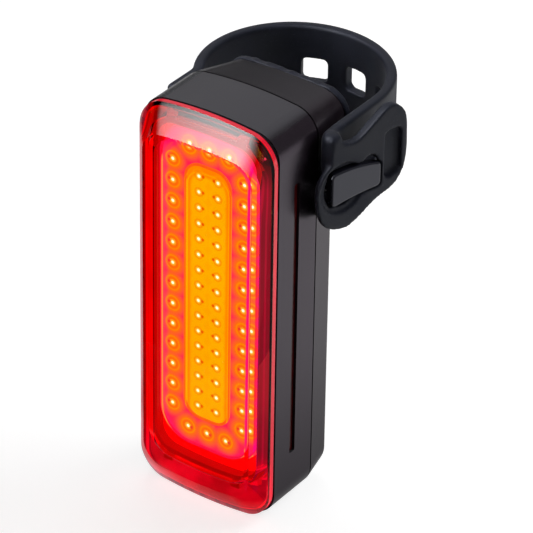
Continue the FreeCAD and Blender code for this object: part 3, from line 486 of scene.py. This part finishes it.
# Clear red plastic with the chips' light painted on as glow. The walls of the well catch it, the solid margin
# round the well glows at the left and along the bottom, the rim glows where light leaves it, the outer edge is
# painted darker at the bottom and left, a painted reflection greys the lower left, and two painted refraction
# lines at the right crease get a tint with less green. A span is where a part fades in, in the drawing's
# millimetres.
def lensMaterial(look):
    material, tree, shader = newMaterial("redLens")
    x, y, z = splitPlace(tree)[:3]
    edge = addGroup(tree, zoneEdge, **look["well"]).outputs["Distance"]
    streak = ramp(tree, noise(tree, look["streakScale"], 3.0, 0.5), 0.2, 0.8)
    patch = ramp(tree, noise(tree, look["patchScale"], 3.0, 0.55), 0.35, 0.65)
    backfacing = newNode(tree, "ShaderNodeNewGeometry").outputs["Backfacing"]

    def outsideShare(hidden):       # faces seen from within the plastic glow less by this share
        return calc(tree, "SUBTRACT", 1.0, calc(tree, "MULTIPLY", backfacing, hidden))

    # Painted light: all the glow below stands in for the chips' light carried in the plastic.
    aboveLip = ramp(tree, z, *look["lipSpan"])
    leftward = ramp(tree, x, *look["leftSpan"])
    margin = mixColor(tree, aboveLip, look["lipGlow"], mixColor(tree, leftward, black, look["backLeft"]))
    color = mixColor(tree, ramp(tree, y, *look["behindSpan"]), black, margin)
    lip = mixColor(tree, patch, look["backLip"], look["lipPatch"])
    back = mixColor(tree, leftward, look["backRight"], look["backLeft"])
    color = mixColor(tree, within(tree, (y, look["backSpan"]), (z, look["backTopSpan"])), color,
                     mixColor(tree, aboveLip, lip, back))
    wall = within(tree, (edge, look["wallEdge"]), (y, look["wallFront"]), (y, look["wallBack"]),
                  (z, look["wallTop"]))
    wall = calc(tree, "MULTIPLY", wall, outsideShare(look["wallInside"]))
    color = mixColor(tree, wall, color, look["wallGlow"])
    slope = within(tree, (x, look["slopeLeft"]), (edge, look["slopeEdge"]), (y, look["slopeFront"]),
                   (y, look["slopeBack"]))
    color = mixColor(tree, slope, color, look["slopeGlow"])
    rim = within(tree, (y, look["rimFront"]), (y, look["rimBack"]), (edge, look["rimEdge"]))
    rim = calc(tree, "MULTIPLY", rim, outsideShare(look["rimInside"]))
    color = mixColor(tree, rim, color, look["rimGlow"])
    color = layer(tree, color, streak, look["streak"], black)
    # Painted shade: the glow dims to a dark red at the bottom and left outer edges.
    low = calc(tree, "MAXIMUM", ramp(tree, z, *look["lowSpan"]), ramp(tree, x, *look["lowLeft"]))
    low = calc(tree, "MULTIPLY", low, ramp(tree, y, *look["lowFront"]))
    color = mixColor(tree, calc(tree, "MULTIPLY", low, outsideShare(1.0)), color, look["lowEdge"])
    # Painted reflection: the lower left outer edge takes a pale grey-pink glow for the white floor it mirrors.
    floorReflection = within(tree, (x, look["veilLeft"]), (z, look["veilLow"]), (y, look["veilFront"]))
    color = mixColor(tree, floorReflection, color, look["paintedFloorReflection"])
    # Painted refraction: two thin lines at the right crease get a tint with less green, where the real lens
    # bends the chips' light.
    paintedRefraction = 0.0
    for begin, full, fade, end in look["creaseLines"]:
        paintedRefraction = calc(tree, "MAXIMUM", paintedRefraction, within(tree, (x, (begin, full)), (x, (end, fade))))
    paintedRefraction = calc(tree, "MULTIPLY", paintedRefraction, within(tree, (y, look["creaseFront"]), (z, look["creaseLow"])))
    tint = mixColor(tree, streak, look["tint"], look["tintDeep"])
    finishGlow(tree, shader, color, mixColor(tree, paintedRefraction, tint, look["paintedRefractionTint"]), look["roughness"])
    shader.inputs["IOR"].default_value = look["ior"]
    shader.inputs["Transmission Weight"].default_value = 1.0
    return material


lensLook = {"tint": (0.94, 0.045, 0.05), "tintDeep": (0.92, 0.04, 0.045), "roughness": 0.0, "ior": 1.49,
            "well": {"Width": 22.8, "Height": 70.5, "Corner": 4.5, "Middle": 2.05, "Arch": 150.0},
            "streakScale": 120.0, "streak": 0.25, "patchScale": 130.0,
            "lipSpan": (-35.0, -26.0), "leftSpan": (-11.3, -11.9), "behindSpan": (-0.15, -0.05),
            "lipGlow": (0.5, 0.0, 0.04), "backSpan": (1.3, 1.5), "backTopSpan": (34.0, 28.0),
            "backLeft": (0.4, 0.0, 0.0), "backRight": (0.2, 0.0, 0.05), "backLip": (0.6, 0.0, 0.05),
            "lipPatch": (0.34, 0.0, 0.02),
            "wallEdge": (0.12, 0.04), "wallFront": (-1.9, -1.3), "wallBack": (1.58, 1.5),
            "wallTop": (36.4, 35.2), "wallInside": 0.85, "wallGlow": (0.3, 0.0, 0.0),
            "slopeLeft": (-10.1, -10.25), "slopeEdge": (0.1, 0.0), "slopeFront": (-2.06, -2.0),
            "slopeBack": (-1.4, -1.5), "slopeGlow": (1.05, 0.0, 0.0),
            "rimFront": (-1.2, -0.8), "rimBack": (-0.02, -0.1), "rimEdge": (0.2, 0.6), "rimInside": 0.92,
            "rimGlow": (0.75, 0.005, 0.03),
            "lowSpan": (-36.5, -39.0), "lowLeft": (-11.8, -12.6), "lowFront": (-0.2, -0.6),
            "lowEdge": (0.12, 0.008, 0.02),
            "veilLeft": (-3.0, -13.0), "veilLow": (-33.5, -37.0), "veilFront": (-0.2, -0.8),
            "paintedFloorReflection": (0.25, 0.13, 0.16),
            "creaseLines": ((10.75, 10.9, 11.3, 11.45), (12.2, 12.3, 12.75, 12.9)), "creaseFront": (-2.3, -2.4),
            "creaseLow": (-33.0, -31.0), "paintedRefractionTint": (0.94, 0.0006, 0.16)}
redLens = lensMaterial(lensLook)

finishes = {
    "front_lens": redLens, "outer_gel": outerGel, "inner_gel": innerGel,
    "outer_dam": damMaterial("outerDam", outerDamLook), "inner_dam": damMaterial("innerDam", innerDamLook),
    "outer_leds": flatGlow("litChip", chipLook), "cob_board": flatGlow("boardMargin", boardGlowLook),
    "reflector_bezel": flatGlow("redBezel", bezelLook), "heat_plate": flatGlow("heatPlate", plateLook),
    "left_side_window": flatGlow("sideWindow", windowLook),
    "front_casing": casingPlastic, "rear_housing": housingPlastic,
    "lens_gasket": sealRubber, "casing_seal": sealRubber,
    "saddle_pad": strapRubber, "power_button": strapRubber, "usb_cover": strapRubber,
    "strap_band": strapRubber, "strap_tab": strapRubber, "strap_hook": hookPlastic, "strap_anchor": hookPlastic,
    "housing_screws": plainMetal, "hook_screw": plainMetal, "anchor_screw": plainMetal,
    "board_screws": plainMetal, "usb_socket": plainMetal,
    "main_board": mouldedMaterial("greenBoard", boardLook),
    "inner_frame": mouldedMaterial("greyFrame", frameLook),
    "battery_foam": mouldedMaterial("greyFoam", foamLook),
    "battery_lead": mouldedMaterial("wireSleeve", wireLook),
    "battery_cell": mouldedMaterial("cellFoil", dict(metalLook, roughness=0.35, grain=900.0)),
}
for node, same in (("inner_leds", "outer_leds"), ("right_side_window", "left_side_window"),
                   ("usb_board", "main_board"), ("tact_switch", "inner_frame")):
    finishes[node] = finishes[same]
sharpAngle = 28.0
for name, cadObject in nodes.items():
    cadObject.data.materials.clear()
    cadObject.data.materials.append(finishes[name])
    cadObject.data.polygons.foreach_set("use_smooth", [True] * len(cadObject.data.polygons))
    cadObject.data.set_sharp_from_angle(angle=math.radians(sharpAngle))
print("materials on", len(nodes), "nodes")


# The lens again with fine, even facets, because light bends through every one of them.
lensShape = {"width": 28.6, "height": 80.0, "corner": 5.0, "front": -4.0, "rim": -1.15, "rimRound": 0.22,
             "insetX": 2.65, "insetZ": 5.0, "faceCorner": 3.8, "bend": (0.86, 0.70), "facetSteps": 12,
             "tongueInset": 1.75, "tongueBack": 1.6, "wellWidth": 22.8, "wellHeight": 70.5, "wellMiddle": 2.05,
             "wellCorner": 4.5, "wellFront": -2.0, "bevelX": 1.45, "bevelTop": 3.61, "bevelBottom": 0.4,
             "bevelDepth": 0.54, "topDepth": 1.31, "cornerShare": 0.8, "arch": 75.0,
             "soft": {"depth": 0.05, "side": 0.92, "top": 0.08, "bottom": 0.8},
             "cornerSteps": 12, "sideSteps": 6, "endSteps": 16, "sharpAngle": 14.0}


# One outline of the lens at depth y: rounded corners, straight sides and ends that arch outwards.
def ringPoints(width, height, corner, y, middle=0.0):
    half = width / 2
    arch = lensShape["arch"]

    def drop(x):
        return arch - math.sqrt(arch * arch - x * x)

    quarter = []        # from the right side up to the top end
    for step in range(lensShape["cornerSteps"] + 1):
        turn = math.pi / 2 * step / lensShape["cornerSteps"]
        x = half - corner + corner * math.cos(turn)
        quarter.append((x, height / 2 - corner + corner * math.sin(turn) - drop(x)))
    inner = quarter[-1][0]
    endRow = []
    for step in range(1, lensShape["endSteps"]):
        x = inner - 2 * inner * step / lensShape["endSteps"]
        endRow.append((x, height / 2 - drop(x)))
    left = [(-x, z) for x, z in reversed(quarter)]
    sideRow = []
    for step in range(1, lensShape["sideSteps"]):
        sideRow.append((-half, left[-1][1] * (1 - 2 * step / lensShape["sideSteps"])))
    upperHalf = quarter + endRow + left + sideRow
    return [place(x, y, z + middle) for x, z in upperHalf + [(-x, -z) for x, z in upperHalf]]


# Outlines from the flat face over the bent facets and the rim to the tongue, then into the well.
def lensRings():
    shape = lensShape
    rings = []
    for step in range(shape["facetSteps"] + 1):
        t = step / shape["facetSteps"]
        outward = 2 * t * (1 - t) * shape["bend"][0] + t * t
        backward = 2 * t * (1 - t) * shape["bend"][1] + t * t
        left = 2 * (1 - outward)
        corner = shape["faceCorner"] + (shape["corner"] - shape["faceCorner"]) * outward
        rings.append(ringPoints(shape["width"] - left * shape["insetX"],
                                shape["height"] - left * shape["insetZ"],
                                corner, shape["front"] + (shape["rim"] - shape["front"]) * backward))
    rim = shape["rimRound"]
    for turn in (0, 30, 60, 90):
        inset = rim * (1 - math.cos(math.radians(turn)))
        rings.append(ringPoints(shape["width"] - 2 * inset, shape["height"] - 2 * inset,
                                shape["corner"] - inset, -rim + rim * math.sin(math.radians(turn))))
    width, height = (shape[key] - 2 * shape["tongueInset"] for key in ("width", "height"))
    for y in (0.0, shape["tongueBack"]):
        rings.append(ringPoints(width, height, shape["corner"] - shape["tongueInset"], y))
    front, soft = shape["wellFront"], shape["soft"]
    step = shape["bevelDepth"] / shape["topDepth"]
    wellRows = ((shape["tongueBack"], 0.0, 0.0, 0.0), (front + shape["topDepth"], 0.0, 0.0, 0.0),
                (front + shape["bevelDepth"], 0.0, 1 - step, 0.0),
                (front + soft["depth"], soft["side"], 1 - soft["top"] * step, soft["bottom"]),
                (front, 1.0, 1.0, 1.0))
    for y, side, top, bottom in wellRows:       # shares of the bevels at each depth of the well
        above = top * shape["bevelTop"]
        below = bottom * shape["bevelBottom"]
        rings.append(ringPoints(shape["wellWidth"] - 2 * side * shape["bevelX"],
                                shape["wellHeight"] - above - below,
                                shape["wellCorner"] - shape["cornerShare"] * side * shape["bevelX"], y,
                                shape["wellMiddle"] - (above - below) / 2))
    return rings


def makeLens():
    rings = lensRings()
    count = len(rings[0])
    form = bmesh.new()
    loops = [[form.verts.new(point) for point in ring] for ring in rings]
    form.faces.new(loops[0])
    form.faces.new(reversed(loops[-1]))
    for first, second in zip(loops, loops[1:]):
        for i in range(count):
            j = (i + 1) % count
            form.faces.new((first[i], second[i], second[j], first[j]))
    bmesh.ops.recalc_face_normals(form, faces=form.faces)
    for face in form.faces:
        face.smooth = True
    mesh = bpy.data.meshes.new("lensMoulding")
    form.to_mesh(mesh)
    form.free()
    mesh.set_sharp_from_angle(angle=math.radians(lensShape["sharpAngle"]))
    mesh.materials.append(redLens)
    lens = bpy.data.objects.new("lensMoulding", mesh)
    scene.collection.objects.link(lens)
    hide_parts("front_lens")
    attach(lens, "housing")
    return lens


lens = makeLens()
print("lens", len(lens.data.polygons), "faces")


strapPiece = {"voxel": 0.00022, "smoothing": 10, "smoothShare": 0.5,
              "worn": (((16.9, 12.4, 35.9), 3.6, 90), ((16.9, 12.4, 18.0), 3.0, 50))}


def joinedCopy(name, parts):
    mesh = bpy.data.meshes.new(name)
    form = bmesh.new()
    for part in parts:
        form.from_mesh(nodes[part].data)
    form.to_mesh(mesh)
    form.free()
    piece = bpy.data.objects.new(name, mesh)
    scene.collection.objects.link(piece)
    return piece


def applyModifiers(piece):
    graph = bpy.context.evaluated_depsgraph_get()
    made = bpy.data.meshes.new_from_object(piece.evaluated_get(graph))
    piece.modifiers.clear()
    piece.data = made


def roundOver(piece, centre, reach, steps):       # smooths a mesh further round one place
    group = piece.vertex_groups.new(name="roundOver")
    for vertex in piece.data.vertices:
        share = 1.0 - (vertex.co - centre).length / reach
        if share > 0:
            group.add([vertex.index], min(1.0, 2 * share), "REPLACE")
    relax = piece.modifiers.new("roundOver", "SMOOTH")
    relax.factor = 0.5
    relax.iterations = steps
    relax.vertex_group = group.name
    applyModifiers(piece)
    piece.vertex_groups.clear()


# Rubber moulding: the parts' volumes run together and every edge goes soft.
def softMoulding(name, parts, look, material):
    piece = joinedCopy(name, parts)
    melt = piece.modifiers.new("melt", "REMESH")
    melt.mode = "VOXEL"
    melt.voxel_size = look["voxel"]
    relax = piece.modifiers.new("relax", "SMOOTH")
    relax.factor = look["smoothShare"]
    relax.iterations = look["smoothing"]
    applyModifiers(piece)
    for spot, reach, steps in look.get("worn", ()):     # places that are rounded over further
        roundOver(piece, place(*spot), reach / 1000, steps)
    piece.data.materials.clear()
    piece.data.materials.append(material)
    for polygon in piece.data.polygons:
        polygon.use_smooth = True
    return piece


strap = softMoulding("strapMoulding", ("strap_band", "strap_tab"), strapPiece, strapRubber)
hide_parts("strap_band", "strap_tab")
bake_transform(strap)
print("strap", len(strap.data.polygons), "faces")


padPiece = {"voxel": 0.0002, "smoothing": 6, "smoothShare": 0.5, "ragged": 0.0007, "raggedScale": 0.0022,
            "raggedMiddle": 0.6, "lipHeight": 0.0012, "lipFade": 0.0008}
buttonPiece = {"voxel": 0.0001, "smoothing": 5, "smoothShare": 0.5}
coverPiece = {"voxel": 0.00012, "smoothing": 5, "smoothShare": 0.5}


def raggedLip(piece, look):     # the pad's moulding flash is never quite straight
    pattern = bpy.data.textures.new("flash", "CLOUDS")
    pattern.noise_scale = look["raggedScale"]
    group = piece.vertex_groups.new(name="lip")
    top = max(vertex.co.z for vertex in piece.data.vertices)
    for vertex in piece.data.vertices:
        share = (vertex.co.z - top + look["lipHeight"]) / look["lipFade"]
        if share > 0:
            group.add([vertex.index], min(1.0, share), "REPLACE")
    wave = piece.modifiers.new("flash", "DISPLACE")
    wave.texture = pattern
    wave.direction = "Z"
    wave.mid_level = look["raggedMiddle"]
    wave.strength = look["ragged"]
    wave.vertex_group = group.name
    applyModifiers(piece)
    piece.vertex_groups.clear()


pad = softMoulding("padMoulding", ("saddle_pad",), padPiece, strapRubber)
raggedLip(pad, padPiece)
button = softMoulding("buttonMoulding", ("power_button",), buttonPiece, strapRubber)
cover = softMoulding("coverMoulding", ("usb_cover",), coverPiece, strapRubber)
for piece, part, body in ((pad, "saddle_pad", "housing"), (button, "power_button", "button"),
                          (cover, "usb_cover", "port_cover")):
    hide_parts(part)
    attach(piece, body)
    print(part, len(piece.data.polygons), "faces")


stageLook = {"width": 1.6, "front": -0.075, "depth": 1.6, "seen": 0.78, "mirrored": 0.6, "fill": 0.06,
             "paper": (0.5, 0.5, 0.5), "paperPale": (0.53, 0.53, 0.53), "paperScale": 14.0,
             "paperRoughness": 0.85, "paperSpecular": 0.1,
             "darkFront": (-0.0385, -0.0345), "darkLeft": (-0.045, -0.025), "darkLeftBack": (-0.032, -0.012),
             "right": (0.018, 0.04), "rightFloor": 0.18, "behind": (0.01, 0.045), "behindFloor": 0.62,
             "foot": (0.014, -0.022), "nearFloor": 0.7, "nearReach": 0.06}
worldLook = {"behind": (-0.05, 0.45), "leftOnly": (0.0, 0.35, 1.0, 0.05), "raised": (0.12, 0.45, 0.1, 0.62),
             "sheenAcross": (0.867, -0.393, 0.307), "sheenFrom": (-0.35, 0.08), "sheenTo": (0.62, 0.1),
             "before": (0.0, -0.3), "overhead": (-0.05, 0.1, 0.0, 10.5), "rightFill": (0.15, 0.45, 0.0, 0.24),
             "behindSeen": 0.3}
floorLevel = min(cadBox[0][2], cadBox[1][2])


def flatSheet(name, left, right, front, back, level):
    mesh = bpy.data.meshes.new(name)
    mesh.from_pydata([(left, front, level), (right, front, level), (right, back, level), (left, back, level)],
                     [], [(0, 1, 2, 3)])
    sheet = bpy.data.objects.new(name, mesh)
    scene.collection.objects.link(sheet)
    return sheet


# Seen in reflections the floor is painted: painted shade in front of the lens and at its left, so the flat face
# stays clear.
def makeFloor():
    half = stageLook["width"] / 2
    floor = flatSheet("floor", -half, half, stageLook["front"], stageLook["front"] + stageLook["depth"],
                      floorLevel)
    material, tree, shader = newMaterial("palePaper")
    x, y = newNode(tree, "ShaderNodeSeparateXYZ").outputs[:2]
    feed(tree, x.node.inputs[0], newNode(tree, "ShaderNodeTexCoord").outputs["Object"])
    beside = calc(tree, "MAXIMUM", ramp(tree, x, *stageLook["darkLeft"]),
                  ramp(tree, y, *stageLook["darkLeftBack"]))
    bright = calc(tree, "MULTIPLY", beside, ramp(tree, y, *stageLook["darkFront"]))
    bright = calc(tree, "MAXIMUM", bright, ramp(tree, x, *stageLook["right"], 0.0, stageLook["rightFloor"]))
    bright = calc(tree, "MULTIPLY", bright, ramp(tree, x, *stageLook["behind"], stageLook["behindFloor"], 1.0))
    # Painted shadow: as mirrored, the floor darkens near the light's foot.
    footX, footY = stageLook["foot"]
    away = distance(tree, calc(tree, "SUBTRACT", x, footX), calc(tree, "SUBTRACT", y, footY))
    bright = calc(tree, "MULTIPLY", bright, ramp(tree, away, 0.0, stageLook["nearReach"],
                                                 stageLook["nearFloor"], 1.0))
    paths = newNode(tree, "ShaderNodeLightPath")
    mirrored = paths.outputs["Is Glossy Ray"]
    reflectedShade = calc(tree, "MULTIPLY", mirrored, calc(tree, "SUBTRACT", 1.0, bright))
    color = mixColor(tree, noise(tree, stageLook["paperScale"], 4.0, 0.6), stageLook["paper"],
                     stageLook["paperPale"])
    feed(tree, shader.inputs["Base Color"], mixColor(tree, reflectedShade, color, black))
    shader.inputs["Roughness"].default_value = stageLook["paperRoughness"]
    shader.inputs["Specular IOR Level"].default_value = stageLook["paperSpecular"]
    glow = calc(tree, "MAXIMUM", calc(tree, "MULTIPLY", paths.outputs["Is Camera Ray"], stageLook["seen"]),
                calc(tree, "MULTIPLY", calc(tree, "MULTIPLY", mirrored, bright), stageLook["mirrored"]))
    feed(tree, shader.inputs["Emission Strength"], glow)
    shader.inputs["Emission Color"].default_value = (1.0, 1.0, 1.0, 1.0)
    floor.data.materials.append(material)


# Rays that mirror off the light meet a white backdrop behind it, a dark room in front of it,
# and one big soft light above the camera's left, which gives the lens its sheen.
def makeWorld():
    world = bpy.data.worlds.new("studio")
    scene.world = world
    world.use_nodes = True
    tree = world.node_tree
    background = tree.nodes["Background"]
    paths = newNode(tree, "ShaderNodeLightPath")
    coords = newNode(tree, "ShaderNodeTexCoord")
    split = newNode(tree, "ShaderNodeSeparateXYZ")
    feed(tree, split.inputs[0], coords.outputs["Generated"])
    x, y, z = split.outputs[:3]
    behind = ramp(tree, y, *worldLook["behind"])
    backdrop = calc(tree, "MULTIPLY", behind,
                    within(tree, (x, worldLook["leftOnly"]), (z, worldLook["raised"])))
    across = newNode(tree, "ShaderNodeVectorMath", operation="DOT_PRODUCT")
    feed(tree, across.inputs[0], coords.outputs["Generated"])
    across.inputs[1].default_value = worldLook["sheenAcross"]
    lobe = across.outputs["Value"]
    sheen = within(tree, (lobe, worldLook["sheenFrom"]), (lobe, worldLook["sheenTo"]), (y, worldLook["before"]),
                   (z, worldLook["overhead"]))
    sheen = calc(tree, "MAXIMUM", sheen, ramp(tree, x, *worldLook["rightFill"]))
    direct = calc(tree, "LESS_THAN", paths.outputs["Transmission Depth"], 0.5)
    shine = calc(tree, "MULTIPLY", calc(tree, "MULTIPLY", paths.outputs["Is Glossy Ray"], direct),
                 calc(tree, "MAXIMUM", backdrop, sheen))
    through = calc(tree, "MULTIPLY", paths.outputs["Is Transmission Ray"],
                   calc(tree, "MULTIPLY", behind, worldLook["behindSeen"]))
    seen = calc(tree, "MAXIMUM", calc(tree, "MAXIMUM", paths.outputs["Is Camera Ray"], shine), through)
    fill = calc(tree, "MULTIPLY", paths.outputs["Is Diffuse Ray"], stageLook["fill"])
    background.inputs["Color"].default_value = (1.0, 1.0, 1.0, 1.0)
    feed(tree, background.inputs["Strength"], calc(tree, "MAXIMUM", seen, fill))


softboxes = {       # azimuth from the front towards +X, elevation, distance, width, height, radiance
    "keyBox": {"az": 142.0, "el": 36.0, "away": 0.7, "wide": 0.4, "tall": 0.4, "radiance": 5.0},
    "topBox": {"az": 212.0, "el": 72.0, "away": 0.8, "wide": 0.4, "tall": 0.3, "radiance": 4.0},
}
softboxAim = (0, -0.02, -0.02)


def makeSoftboxes():
    for name, box in softboxes.items():
        az, el = math.radians(box["az"]), math.radians(box["el"])
        way = Vector((math.sin(az) * math.cos(el), -math.cos(az) * math.cos(el), math.sin(el)))
        lamp = bpy.data.lights.new(name, "AREA")
        lamp.shape = "RECTANGLE"
        lamp.size = box["wide"]
        lamp.size_y = box["tall"]
        lamp.energy = box["radiance"] * math.pi * box["wide"] * box["tall"]
        holder = bpy.data.objects.new(name, lamp)
        holder.location = Vector(softboxAim) + way * box["away"]
        holder.rotation_euler = way.to_track_quat("Z", "Y").to_euler()
        holder.visible_camera = False
        holder.visible_glossy = False       # the world does the mirrored light
        scene.collection.objects.link(holder)


shot = {"az": 34.989, "el": 32.319, "roll": 0.897, "focalPixels": 3836.77, "imagePixels": 533,
        "distance": 0.66073, "target": (12.078, 0.0, 13.511)}


def makeCamera():
    az, el, roll = (math.radians(shot[key]) for key in ("az", "el", "roll"))
    back = Vector((math.sin(az) * math.cos(el), -math.cos(az) * math.cos(el), math.sin(el)))
    level = Vector((math.cos(az), math.sin(az), 0))
    top = back.cross(level)
    right = level * math.cos(roll) + top * math.sin(roll)
    up = top * math.cos(roll) - level * math.sin(roll)
    data = bpy.data.cameras.new("camera")
    data.sensor_width = 36.0
    data.lens = shot["focalPixels"] / shot["imagePixels"] * data.sensor_width
    data.clip_start = 0.01
    camera = bpy.data.objects.new("camera", data)
    turn = Matrix((right, up, back)).transposed()
    camera.matrix_world = Matrix.Translation(place(*shot["target"]) + back * shot["distance"]) @ turn.to_4x4()
    scene.collection.objects.link(camera)
    scene.camera = camera


makeFloor()
makeWorld()
makeSoftboxes()
makeCamera()
scene.view_settings.view_transform = "Standard"
print("stage set")
